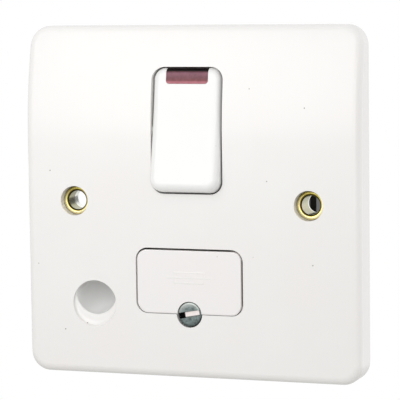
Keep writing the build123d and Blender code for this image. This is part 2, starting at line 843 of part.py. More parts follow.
# Cord clamp: an arched bar across the two posts behind the flex outlet
with BuildPart() as cord_clamp_bar:
    with BuildSketch(facing(clamp_post_end + clamp_bar_thickness)):
        with Locations((clamp_x, clamp_z)):
            RectangleRounded(clamp_bar_length, clamp_bar_width, clamp_bar_corner)
            with GridLocations(clamp_spacing, 1, 2, 1):
                Circle(clamp_screw_r + pilot_room, mode=Mode.SUBTRACT)
    extrude(amount=clamp_bar_thickness)
    with BuildSketch(Plane.XY.offset(clamp_z)):
        with Locations((clamp_x, clamp_post_end + clamp_arch_rise - clamp_arch_r)):
            Circle(clamp_arch_r)
    extrude(amount=clamp_bar_width, both=True, mode=Mode.SUBTRACT)
write(cord_clamp_bar.part, "cord_clamp_bar")

clamp_spots = [(clamp_x - clamp_spacing / 2, clamp_z), (clamp_x + clamp_spacing / 2, clamp_z)]
cord_clamp_screws = Compound(
    [
        slotted_screw(
            spot,
            clamp_post_end + clamp_bar_thickness,
            (clamp_screw_r, clamp_screw_length),
            (clamp_head_r, clamp_head_height),
            (driver_slot, clamp_head_height / 2),
            out=1,
        )
        for spot in clamp_spots
    ]
)
write(cord_clamp_screws, "cord_clamp_screws")

base_screws = Compound(
    [
        slotted_screw(
            spot,
            base_seat,
            (base_screw_r, base_screw_length),
            (base_head_r, base_head_height),
            (driver_slot, base_head_height / 2),
            out=1,
            turn=base_screw_turn,
        )
        for spot in base_screw_spots
    ]
)
write(base_screws, "base_screws")

# Rear base: dark tray, open to the front, with posts, wire entries and screw access
with BuildPart() as rear_base:
    with BuildSketch(facing(base_back)):
        add(base_outline(0))
    extrude(amount=base_back - base_front)
    fillet(rear_base.faces().sort_by(Axis.Y)[-1].edges(), base_back_round)
    with BuildSketch(facing(floor_y)):
        add(base_outline(base_wall))
    extrude(amount=floor_y - base_front, mode=Mode.SUBTRACT)
    with BuildSketch(facing(floor_y)):
        with Locations(*base_screw_spots):
            Circle(base_post_r)
    extrude(amount=floor_y - base_front)
    with BuildSketch(facing(floor_y)):
        with Locations((fuse_x, screw_z)):
            Circle(insert_r + insert_post_wall)
    extrude(amount=floor_y - insert_front)
    with BuildSketch(facing(floor_y)):
        with Locations((rocker_x, lamp_z)):
            Rectangle(lamp_length / 2, 2 * lamp_r + base_wall)
    extrude(amount=floor_y - lamp_y)
    with BuildSketch(Plane.YZ.offset(rocker_x)):
        with Locations((lamp_y, lamp_z)):
            Circle(lamp_r + lamp_seat_gap)
    extrude(amount=lamp_length, both=True, mode=Mode.SUBTRACT)
    # Screw clearances, deep counterbores and the insert's seat
    with BuildSketch(facing(base_back)):
        with Locations(*base_screw_spots):
            Circle(base_screw_hole_r)
    extrude(amount=base_back - base_front, mode=Mode.SUBTRACT)
    with BuildSketch(facing(base_back)):
        with Locations(*base_screw_spots):
            Circle(base_head_r + base_head_room)
    extrude(amount=base_back - base_seat, mode=Mode.SUBTRACT)
    with BuildSketch(facing(insert_front + insert_length)):
        with Locations((fuse_x, screw_z)):
            Circle(insert_r)
    extrude(amount=insert_length, mode=Mode.SUBTRACT)
    with BuildSketch(facing(base_back)):
        with Locations(*screw_spots):
            Circle(terminal_access_r)
    extrude(amount=base_wall, mode=Mode.SUBTRACT)
    # Wire entries in the top, bottom and right walls
    above = Plane.XY.offset(base_top - 2 * base_wall)
    below = Plane.XY.offset(base_bottom - base_wall)
    beside = Plane.YZ.offset(base_half_width - 2 * base_wall)
    entries = [(above, (-terminal_x, wire_y)), (above, (terminal_x, wire_y))]
    entries += [(below, (neutral_load_x, wire_y)), (below, (terminal_x, wire_y))]
    for entry_plane, spot in entries:
        with BuildSketch(entry_plane):
            with Locations(spot):
                Circle(wire_r + wire_entry_gap)
        extrude(amount=3 * base_wall, mode=Mode.SUBTRACT)
    # One long window for both earth wires
    entry_r = wire_r + wire_entry_gap
    with BuildSketch(beside):
        with Locations((wire_y, 0)):
            SlotCenterToCenter(earth_wire_spacing, 2 * entry_r, rotation=90)
    extrude(amount=3 * base_wall, mode=Mode.SUBTRACT)
    # Notch that lets the earth strap out to the eyelet
    with BuildSketch(facing(earth_strap_y + earth_strap_thickness + wire_entry_gap)):
        with Locations((base_half_width - base_wall / 2, 0)):
            Rectangle(2 * base_wall, earth_strap_width + 2 * wire_entry_gap)
    extrude(amount=plate_depth, mode=Mode.SUBTRACT)
write(rear_base.part, "rear_base")
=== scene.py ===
"""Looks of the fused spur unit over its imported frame. Metres, X right, Z up, the front faces -Y."""
import json
import math

import bpy
from mathutils import Matrix, Vector


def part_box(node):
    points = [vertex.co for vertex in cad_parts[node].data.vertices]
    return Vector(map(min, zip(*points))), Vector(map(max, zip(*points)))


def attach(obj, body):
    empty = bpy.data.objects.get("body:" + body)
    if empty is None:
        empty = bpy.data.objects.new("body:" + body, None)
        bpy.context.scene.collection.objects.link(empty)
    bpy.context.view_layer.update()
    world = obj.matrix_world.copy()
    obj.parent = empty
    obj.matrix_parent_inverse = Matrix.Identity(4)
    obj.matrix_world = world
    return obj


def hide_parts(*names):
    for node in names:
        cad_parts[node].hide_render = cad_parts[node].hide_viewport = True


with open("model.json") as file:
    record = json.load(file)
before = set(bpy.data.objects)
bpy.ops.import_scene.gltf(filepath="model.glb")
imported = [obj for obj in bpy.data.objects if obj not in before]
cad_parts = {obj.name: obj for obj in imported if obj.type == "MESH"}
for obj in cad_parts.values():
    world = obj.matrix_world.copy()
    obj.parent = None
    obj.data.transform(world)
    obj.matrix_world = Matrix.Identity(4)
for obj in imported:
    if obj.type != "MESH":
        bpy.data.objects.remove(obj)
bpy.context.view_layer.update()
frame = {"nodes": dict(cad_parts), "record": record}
nodes = frame["nodes"]
mm = 0.001

# Camera, read from the photograph's edges and eyelets
photo_size = 400
focal_px = 2186.97
sensor_mm = 36.0
view_yaw = math.radians(19.634)
view_pitch = math.radians(5.776)
view_roll = math.radians(-0.745)
view_target = Vector((-0.0308, 0.0, 0.0327)) * mm
view_distance = 537.6 * mm
view_clip = 10 * mm

# Stage, and the place, size and power of each soft box
floor_z = -150 * mm
floor_half = 4.0
near_floor = 0.22
far_floor = 0.5
ambient = 0.72
soft_boxes = {
    "key": ((-0.045, -0.17, 0.07), 0.14, 0.107),
    "front_fill": ((0.2, -0.6, 0.1), 0.3, 0.45),
    "right_fill": ((0.32, 0.2, 0.06), 0.5, 0.42),
}

# Places on the unit, read from the frame
base_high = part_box("rear_base")[1]
plate_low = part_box("front_plate")[0]
screw_low, screw_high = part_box("carrier_screw")
carrier_low, carrier_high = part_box("fuse_carrier")
screw_centre = (screw_low + screw_high) / 2
carrier_centre = (carrier_low + carrier_high) / 2
eyelet_centre = {}
for side in ("left", "right"):
    low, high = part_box("eyelet_" + side)
    eyelet_centre[side] = (low + high) / 2

# Points nearer than the merge distance are one point, and edges past these angles, in degrees, stay sharp
merge_distance = 0.0005 * mm
sharp_angle = 30.0
thread_sharp_angle = 35.0
# The flex outlet's ramp meets the plate's face at a shallow angle, and its rim stays sharp
plate_sharp_angle = 18.0

# Width of the features of each finish, in millimetres
moulding_cloud = 16
moulding_peel = 0.9
speck_spacing = 7
base_cloud = 9
base_grain = 0.35
brass_wear = 1.1
brass_ring = 0.16
lens_cloud = 1.1
lens_rib = 0.5
zinc_patch = 0.55
strip_tarnish = 3
strip_line = 0.12
strip_line_length = 4
ceramic_grain = 0.4
nylon_cloud = 2
glass_ripple = 2.5

# Each pair of limits below belongs to a finish's mask, which is 0 at the first limit and 1 at the second

# A speck's edge on the white mouldings, as shares of the spacing, and the swing of their roughness
speck_edge = (0.014, 0.03)
moulding_polish = 0.04

# Ejector marks on the base's back, in millimetres, and the shift of their grid, in spacings
ejector_spacing = 17.0
ejector_r = 2.0
ejector_rim = 0.12
ejector_shift = (0.3, 0, 0.2)
base_back_depth = 0.1 * mm

# Eyelets: the lip from its inside to its outer foot, the painted shade on its upper half, and where the
# tube's inside is painted bright
eyelet_lip_r = (2.25 * mm, 3.6 * mm)
eyelet_shade_z = (0.0, 2.6 * mm)
eyelet_painted_light_from = {"left": -2.4 * mm, "right": -0.6 * mm}
eyelet_painted_light_fade = 0.3 * mm

# The lens's colours run from its lower edge to its upper end, painted light at the foot and painted shade at
# the top
lens_face_z = (28.6 * mm, 32.8 * mm)

# The rocker's opening in the plate, in X and Z, and the painted shade on its right wall
rocker_open_centre = (-0.6 * mm, 17.6 * mm)
rocker_open_half = (9.15 * mm, 15.4 * mm)
rocker_open_corner = 3.2 * mm
shade_past_wall = (0.02 * mm, 0.08 * mm)
shade_left_of_wall = (0.2 * mm, 2.0 * mm)

# The flex outlet's mouth in the plate's face, and the passage behind it, in X and Z
flex_mouth_centre = Vector((-25.15 * mm, -25.4 * mm))
flex_mouth_r = 5.75 * mm
flex_mouth_depth = 1.3 * mm
flex_bore_centre = Vector((-25.15 * mm, -23.1 * mm))
flex_bore_r = 5.2 * mm
# Where the painted light in the passage ends: past its radius, and near the plate's face
flex_bore_fade = 0.1 * mm
flex_bore_face_depth = (0.9 * mm, 0.6 * mm)
# Depth of the dished mouth, as a share of its whole depth, at shares of the way from its rim to the passage
flex_dish = ((0.04, 0.22), (0.1, 0.38), (0.2, 0.54), (0.35, 0.66), (0.5, 0.71), (0.65, 0.74),
             (0.8, 0.78), (0.88, 0.82), (0.94, 0.88), (0.98, 0.95))
# How far a point of the mouth may lie off its wall, and off its ends and rings as a share of the depth
flex_wall_slack = 0.05 * mm
flex_end_slack = 0.001
flex_ring_slack = 0.005

# Carrier screw, and its thread
screw_head_height = 1.7 * mm
screw_slot_turn = math.radians(10)
thread_crest_r = 1.5 * mm
thread_root_r = 1.2 * mm
thread_pitch = 0.7 * mm
thread_crest_half = 0.06 * mm
thread_root_half = 0.3 * mm
thread_bite = 0.05 * mm
thread_start = 4.2 * mm
thread_shoulder = 0.2 * mm
thread_end_gap = 0.4 * mm
thread_steps = 24

# Painted light and shade on the carrier screw: depths are behind its front, and the slot's places are from
# its middle
slot_floor_depth = (0.9 * mm, 1.0 * mm)
slot_floor_end_depth = (1.4 * mm, 1.3 * mm)
slot_half_width = (0.8 * mm, 0.74 * mm)
slot_reflection_half = (0.62 * mm, 0.5 * mm)
slot_reflection_end = (2.3 * mm, 2.1 * mm)
slot_dark_end = (-1.35 * mm, -1.55 * mm)
screw_highlight_shift = (0.3 * mm, -0.9 * mm)
screw_highlight_r = (2.4 * mm, 3.7 * mm)
screw_highlight_depth = (0.8 * mm, 0.6 * mm)

# The carrier hangs low and to the left in its opening, and its notch closes round the screw's head
carrier_face_height = 15.6 * mm
carrier_face_low_z = carrier_high.z - carrier_face_height
carrier_face_z = carrier_high.z - carrier_face_height / 2
carrier_settle_low = 0.22 * mm
carrier_settle_top = 0.17 * mm
carrier_settle_right = 0.2 * mm
carrier_settle_reach = 1.2 * mm
carrier_settle_depth = 1.0 * mm
carrier_notch_r = 3.3 * mm
carrier_notch_slack = 0.06 * mm
carrier_notch_closed_r = 3.12 * mm
# Fade of the painted shade on the carrier's right and upper sides
carrier_shade_fade = 0.03 * mm

# Fuse sign on the carrier: a box with its wire running through
sign_box = (8.0 * mm, 3.0 * mm)
sign_lead = 1.8 * mm
sign_line = 0.4 * mm
sign_rise = 0.11 * mm
sign_sink = 0.03 * mm
sign_edge = sign_rise / 3
sign_above_middle = 0.9 * mm


def linear(hex_colour):
    """Linear RGBA of an sRGB hex colour."""
    channels = [int(hex_colour[i:i + 2], 16) / 255 for i in (1, 3, 5)]
    return [c / 12.92 if c <= 0.04045 else ((c + 0.055) / 1.055) ** 2.4 for c in channels] + [1.0]


def per(size_mm):
    """Texture scale for a pattern whose features are size_mm wide."""
    return 1 / (size_mm * mm)


def add(tree, kind, inputs=None, stops=None, **settings):
    """Adds one node with its settings, input values or links, and the stops of a colour ramp."""
    node = tree.nodes.new(kind)
    for key, value in settings.items():
        setattr(node, key, value)
    for key, value in (inputs or {}).items():
        if isinstance(value, bpy.types.NodeSocket):
            tree.links.new(value, node.inputs[key])
        else:
            node.inputs[key].default_value = value
    if stops:
        ramp = node.color_ramp
        while len(ramp.elements) < len(stops):
            ramp.elements.new(1.0)
        for element, (spot, colour) in zip(ramp.elements, stops):
            element.position = spot
            element.color = linear(colour)
    return node


def new_material(name):
    """A material with its shader, and the Object coordinates that its patterns read."""
    material = bpy.data.materials.new(name)
    material.use_nodes = True
    tree = material.node_tree
    place = add(tree, "ShaderNodeTexCoord").outputs["Object"]
    return material, tree, tree.nodes["Principled BSDF"], place


def painted_shade_on_sides(tree, place, colour, edges):
    """Lays painted shade, in greys, over a moulding's colour on its right and upper sides, past an edge in X
    and one in Z, for the shade in the gap round it.
    """
    spot = add(tree, "ShaderNodeSeparateXYZ", {"Vector": place})
    for axis, edge, shade_tone in zip("XZ", edges, ("#b4b0aa", "#8f8a83")):
        past = add(
            tree,
            "ShaderNodeMapRange",
            {"Value": spot.outputs[axis], "From Min": edge - carrier_shade_fade, "From Max": edge},
        )
        shaded = add(
            tree,
            "ShaderNodeMix",
            {"Factor": past.outputs["Result"], "A": colour, "B": linear(shade_tone)},
            data_type="RGBA",
        )
        colour = shaded.outputs["Result"]
    return colour


def painted_shade_on_wall(tree, place, colour, centre, half, corner):
    """Lays painted shade, a dark grey, over the right wall of an opening with round corners, for the shade in
    its gap.
    """
    flat = add(
        tree,
        "ShaderNodeMapping",
        {"Vector": place, "Location": (-centre[0], 0, -centre[1]), "Scale": (1, 0, 1)},
    )
    quarter = add(tree, "ShaderNodeVectorMath", {0: flat.outputs["Vector"]}, operation="ABSOLUTE")
    past_corner = add(
        tree,
        "ShaderNodeVectorMath",
        {0: quarter.outputs["Vector"], 1: (half[0] - corner, 0, half[1] - corner)},
        operation="SUBTRACT",
    )
    outside = add(
        tree,
        "ShaderNodeVectorMath",
        {0: past_corner.outputs["Vector"], 1: (0, 0, 0)},
        operation="MAXIMUM",
    )
    reach = add(tree, "ShaderNodeVectorMath", {0: outside.outputs["Vector"]}, operation="LENGTH")
    unshaded = add(
        tree,
        "ShaderNodeMapRange",
        {
            "Value": reach.outputs["Value"],
            "From Min": corner + shade_past_wall[0],
            "From Max": corner + shade_past_wall[1],
        },
    )
    side = add(tree, "ShaderNodeSeparateXYZ", {"Vector": flat.outputs["Vector"]})
    other_walls = add(
        tree,
        "ShaderNodeMapRange",
        {
            "Value": side.outputs["X"],
            "From Min": half[0] - shade_left_of_wall[0],
            "From Max": half[0] - shade_left_of_wall[1],
        },
    )
    spared = add(
        tree,
        "ShaderNodeMath",
        {0: unshaded.outputs["Result"], 1: other_walls.outputs["Result"]},
        operation="MAXIMUM",
    )
    # Painted shade: the opening's right wall is mixed towards dark grey
    shaded_wall = add(
        tree,
        "ShaderNodeMix",
        {"Factor": spared.outputs["Value"], "A": linear("#4d4a46"), "B": colour},
        data_type="RGBA",
    )
    return shaded_wall.outputs["Result"]


def painted_light_in_passage(tree, place, colour, centre, radius):
    """Paints a passage behind the plate's face near white, painted light standing in for the light that
    reaches into it.
    """
    bore = add(
        tree,
        "ShaderNodeMapping",
        {"Vector": place, "Location": (-centre[0], 0, -centre[1]), "Scale": (1, 0, 1)},
    )
    from_axis = add(tree, "ShaderNodeVectorMath", {0: bore.outputs["Vector"]}, operation="LENGTH")
    outer = add(
        tree,
        "ShaderNodeMapRange",
        {"Value": from_axis.outputs["Value"], "From Min": radius, "From Max": radius + flex_bore_fade},
    )
    depth = add(tree, "ShaderNodeSeparateXYZ", {"Vector": place})
    at_face = add(
        tree,
        "ShaderNodeMapRange",
        {
            "Value": depth.outputs["Y"],
            "From Min": plate_low.y + flex_bore_face_depth[0],
            "From Max": plate_low.y + flex_bore_face_depth[1],
        },
    )
    outside_passage = add(
        tree,
        "ShaderNodeMath",
        {0: outer.outputs["Result"], 1: at_face.outputs["Result"]},
        operation="MAXIMUM",
    )
    # Painted light: the passage's wall is mixed towards near white
    unshaded = add(
        tree,
        "ShaderNodeMix",
        {"Factor": outside_passage.outputs["Value"], "A": linear("#fcfcfb"), "B": colour},
        data_type="RGBA",
    )
    return unshaded.outputs["Result"]


def white_moulding(name, body, cast, roughness, shaded_past=None, shaded_wall=None, lit_passage=None):
    """Urea-formaldehyde, pressed in a polished mould: a hard white gloss with a faint cloud and a few specks.

    Past the X and the Z of shaded_past, painted shade darkens the moulding's right and upper sides. soiled is
    the centre, half size and corner radius of an opening whose right wall gets painted shade, dark grey.
    unhandled is the centre and radius of a passage painted near white, painted light in place of the light
    that reaches in.
    """
    material, tree, shader, place = new_material(name)
    cloud = add(tree, "ShaderNodeTexNoise", {"Vector": place, "Scale": per(moulding_cloud), "Detail": 3.0})
    tone = add(tree, "ShaderNodeValToRGB", {"Fac": cloud.outputs["Fac"]}, stops=[(0.3, cast), (0.7, body)])
    # Specks are drawn 0.3 mm wide, a little coarser than real ones, so that they show
    cells = add(tree, "ShaderNodeTexVoronoi", {"Vector": place, "Scale": per(speck_spacing)})
    off_speck = add(
        tree,
        "ShaderNodeMapRange",
        {"Value": cells.outputs["Distance"], "From Min": speck_edge[0], "From Max": speck_edge[1]},
    )
    specked = add(
        tree,
        "ShaderNodeMix",
        {"Factor": off_speck.outputs["Result"], "A": linear("#8a857c"), "B": tone.outputs["Color"]},
        data_type="RGBA",
    )
    colour = specked.outputs["Result"]
    if shaded_past:
        colour = painted_shade_on_sides(tree, place, colour, shaded_past)
    if shaded_wall:
        colour = painted_shade_on_wall(tree, place, colour, *shaded_wall)
    if lit_passage:
        colour = painted_light_in_passage(tree, place, colour, *lit_passage)
    tree.links.new(colour, shader.inputs["Base Color"])
    peel = add(tree, "ShaderNodeTexNoise", {"Vector": place, "Scale": per(moulding_peel), "Detail": 2.0})
    bump = add(
        tree,
        "ShaderNodeBump",
        {"Height": peel.outputs["Fac"], "Strength": 0.12, "Distance": 0.02 * mm},
    )
    tree.links.new(bump.outputs["Normal"], shader.inputs["Normal"])
    polish = add(
        tree,
        "ShaderNodeMapRange",
        {
            "Value": cloud.outputs["Fac"],
            "To Min": roughness - moulding_polish,
            "To Max": roughness + moulding_polish,
        },
    )
    tree.links.new(polish.outputs["Result"], shader.inputs["Roughness"])
    shader.inputs["IOR"].default_value = 1.6
    return material


def black_moulding():
    """Glass-filled nylon, moulded in a fine spark-eroded mould: satin black with a close grain."""
    material, tree, shader, place = new_material("black_nylon_moulded")
    cloud = add(tree, "ShaderNodeTexNoise", {"Vector": place, "Scale": per(base_cloud), "Detail": 4.0})
    tone = add(
        tree,
        "ShaderNodeValToRGB",
        {"Fac": cloud.outputs["Fac"]},
        stops=[(0.3, "#1b1c1d"), (0.7, "#27282a")],
    )
    grain = add(tree, "ShaderNodeTexNoise", {"Vector": place, "Scale": per(base_grain), "Detail": 2.0})
    bump = add(
        tree,
        "ShaderNodeBump",
        {"Height": grain.outputs["Fac"], "Strength": 0.35, "Distance": 0.04 * mm},
    )
    # Ejector pins leave round marks at even spacing on the back
    cells = add(
        tree,
        "ShaderNodeMapping",
        {
            "Vector": place,
            "Location": ejector_shift,
            "Scale": (per(ejector_spacing), 0, per(ejector_spacing)),
        },
    )
    in_cell = add(tree, "ShaderNodeVectorMath", {0: cells.outputs["Vector"]}, operation="FRACTION")
    cell_middle = (0.5, 0, 0.5)
    from_pin = add(
        tree,
        "ShaderNodeVectorMath",
        {0: in_cell.outputs["Vector"], 1: cell_middle},
        operation="DISTANCE",
    )
    off_pin = add(
        tree,
        "ShaderNodeMapRange",
        {
            "Value": from_pin.outputs["Value"],
            "From Min": (ejector_r - ejector_rim) / ejector_spacing,
            "From Max": ejector_r / ejector_spacing,
        },
    )
    depth = add(tree, "ShaderNodeSeparateXYZ", {"Vector": place})
    before_back = add(
        tree,
        "ShaderNodeMapRange",
        {"Value": depth.outputs["Y"], "From Min": base_high.y, "From Max": base_high.y - base_back_depth},
    )
    level = add(
        tree,
        "ShaderNodeMath",
        {0: off_pin.outputs["Result"], 1: before_back.outputs["Result"]},
        operation="MAXIMUM",
    )
    marked = add(
        tree,
        "ShaderNodeBump",
        {
            "Height": level.outputs["Value"],
            "Normal": bump.outputs["Normal"],
            "Strength": 0.6,
            "Distance": 0.1 * mm,
        },
    )
    tree.links.new(marked.outputs["Normal"], shader.inputs["Normal"])
    colour = add(
        tree,
        "ShaderNodeMix",
        {"Factor": level.outputs["Value"], "A": linear("#343639"), "B": tone.outputs["Color"]},
        data_type="RGBA",
    )
    tree.links.new(colour.outputs["Result"], shader.inputs["Base Color"])
    shader.inputs["Roughness"].default_value = 0.48
    shader.inputs["IOR"].default_value = 1.53
    return material


def rolled_brass(name, centre, painted_light_from):
    """Pressed brass with fine rolling rings: a painted highlight on the lip's crown, painted shade, olive, in
    its groove and at its foot.

    The tube's inside is dull as far back as painted_light_from, and from there to its rear end is painted
    near white, a painted reflection of the white seen beyond it.
    """
    material, tree, shader, place = new_material(name)
    centred = add(
        tree,
        "ShaderNodeMapping",
        {"Vector": place, "Location": (-centre.x, 0, -centre.z), "Scale": (1, 0, 1)},
    )
    radius = add(tree, "ShaderNodeVectorMath", {0: centred.outputs["Vector"]}, operation="LENGTH")
    # From inside the tube, over the lip's crown, to the lip's outer foot
    across = add(
        tree,
        "ShaderNodeMapRange",
        {"Value": radius.outputs["Value"], "From Min": eyelet_lip_r[0], "From Max": eyelet_lip_r[1]},
    )
    # Painted highlight on the lip's crown, and painted shade in its groove and at its foot
    lip = add(
        tree,
        "ShaderNodeValToRGB",
        {"Fac": across.outputs["Result"]},
        stops=[
            (0.05, "#b5b294"),
            (0.09, "#4a3d12"),
            (0.26, "#5a4c16"),
            (0.38, "#dcc878"),
            (0.48, "#fff4bc"),
            (0.82, "#fff6c2"),
            (0.91, "#cdb95f"),
            (0.98, "#4a4010"),
        ],
    )
    # Painted shade darkens the lip's upper half
    height = add(tree, "ShaderNodeSeparateXYZ", {"Vector": centred.outputs["Vector"]})
    tarnish_and_shade = add(
        tree,
        "ShaderNodeMapRange",
        {"Value": height.outputs["Z"], "From Min": eyelet_shade_z[0], "From Max": eyelet_shade_z[1]},
    )
    top_shaded = add(
        tree,
        "ShaderNodeMix",
        {"Factor": tarnish_and_shade.outputs["Result"], "A": lip.outputs["Color"], "B": linear("#aba672")},
        data_type="RGBA",
        blend_type="MULTIPLY",
    )
    depth = add(tree, "ShaderNodeSeparateXYZ", {"Vector": place})
    # Painted reflection: the tube's inside is mixed towards near white from the given depth to its rear end
    rear = add(
        tree,
        "ShaderNodeMapRange",
        {"Value": depth.outputs["Y"], "From Min": painted_light_from, "From Max": painted_light_from + eyelet_painted_light_fade},
    )
    tone = add(
        tree,
        "ShaderNodeMix",
        {"Factor": rear.outputs["Result"], "A": top_shaded.outputs["Result"], "B": linear("#fbfbf4")},
        data_type="RGBA",
    )
    wear = add(tree, "ShaderNodeTexNoise", {"Vector": place, "Scale": per(brass_wear), "Detail": 3.0})
    wear_and_highlight = add(
        tree,
        "ShaderNodeMix",
        {"Factor": 0.35, "A": tone.outputs["Result"], "B": wear.outputs["Color"]},
        data_type="RGBA",
        blend_type="SOFT_LIGHT",
    )
    tree.links.new(wear_and_highlight.outputs["Result"], shader.inputs["Base Color"])
    rings = add(
        tree,
        "ShaderNodeMath",
        {0: radius.outputs["Value"], 1: 2 * math.pi * per(brass_ring)},
        operation="MULTIPLY",
    )
    groove = add(tree, "ShaderNodeMath", {0: rings.outputs["Value"]}, operation="SINE")
    bump = add(
        tree,
        "ShaderNodeBump",
        {"Height": groove.outputs["Value"], "Strength": 0.1, "Distance": 0.01 * mm},
    )
    tree.links.new(bump.outputs["Normal"], shader.inputs["Normal"])
    shader.inputs["Metallic"].default_value = 1.0
    shader.inputs["Roughness"].default_value = 0.24
    return material


def red_lens():
    """Red polycarbonate, moulded: milky over its ribbed back, painted light at its foot, painted shade,
    black, at its upper end.
    """
    material, tree, shader, place = new_material("red_polycarbonate_moulded")
    height = add(tree, "ShaderNodeSeparateXYZ", {"Vector": place})
    up_face = add(
        tree,
        "ShaderNodeMapRange",
        {"Value": height.outputs["Z"], "From Min": lens_face_z[0], "From Max": lens_face_z[1]},
    )
    # Painted light at the foot, painted shade, black, near the upper end, and a painted highlight on the
    # end's edge
    tone = add(
        tree,
        "ShaderNodeValToRGB",
        {"Fac": up_face.outputs["Result"]},
        stops=[
            (0.05, "#a86c74"),
            (0.16, "#ba727c"),
            (0.27, "#7f4a50"),
            (0.4, "#794d54"),
            (0.68, "#855966"),
            (0.76, "#69464d"),
            (0.81, "#12080a"),
            (0.93, "#140a0c"),
            (0.97, "#5c5050"),
        ],
    )
    cloud = add(tree, "ShaderNodeTexNoise", {"Vector": place, "Scale": per(lens_cloud), "Detail": 3.0})
    milky = add(
        tree,
        "ShaderNodeMix",
        {"Factor": 0.45, "A": tone.outputs["Color"], "B": cloud.outputs["Fac"]},
        data_type="RGBA",
        blend_type="SOFT_LIGHT",
    )
    tree.links.new(milky.outputs["Result"], shader.inputs["Base Color"])
    ribs = add(
        tree,
        "ShaderNodeTexWave",
        {"Vector": place, "Scale": per(lens_rib) / (2 * math.pi), "Distortion": 0.0},
        bands_direction="X",
    )
    bump = add(
        tree,
        "ShaderNodeBump",
        {"Height": ribs.outputs["Fac"], "Strength": 0.08, "Distance": 0.02 * mm},
    )
    tree.links.new(bump.outputs["Normal"], shader.inputs["Normal"])
    shader.inputs["Roughness"].default_value = 0.2
    shader.inputs["IOR"].default_value = 1.58
    shader.inputs["Specular IOR Level"].default_value = 0.15
    return material


def zinc_mottle(tree, shader, place, pale, dull):
    """Zinc's skin: soft grey patches about half a millimetre wide, some duller than others."""
    mottle = add(
        tree,
        "ShaderNodeTexNoise",
        {"Vector": place, "Scale": per(zinc_patch), "Detail": 4.0, "Roughness": 0.6},
    )
    tone = add(tree, "ShaderNodeValToRGB", {"Fac": mottle.outputs["Fac"]}, stops=[(0.32, dull), (0.66, pale)])
    skin = add(tree, "ShaderNodeMapRange", {"Value": mottle.outputs["Fac"], "To Min": 0.28, "To Max": 0.5})
    tree.links.new(skin.outputs["Result"], shader.inputs["Roughness"])
    bump = add(
        tree,
        "ShaderNodeBump",
        {"Height": mottle.outputs["Fac"], "Strength": 0.2, "Distance": 0.02 * mm},
    )
    tree.links.new(bump.outputs["Normal"], shader.inputs["Normal"])
    shader.inputs["Metallic"].default_value = 1.0
    return tone.outputs["Color"]


def zinc_steel():
    """Steel under passivated zinc: a mottled grey skin."""
    material, tree, shader, place = new_material("zinc_steel")
    tree.links.new(zinc_mottle(tree, shader, place, "#b4bab8", "#848b8a"), shader.inputs["Base Color"])
    return material


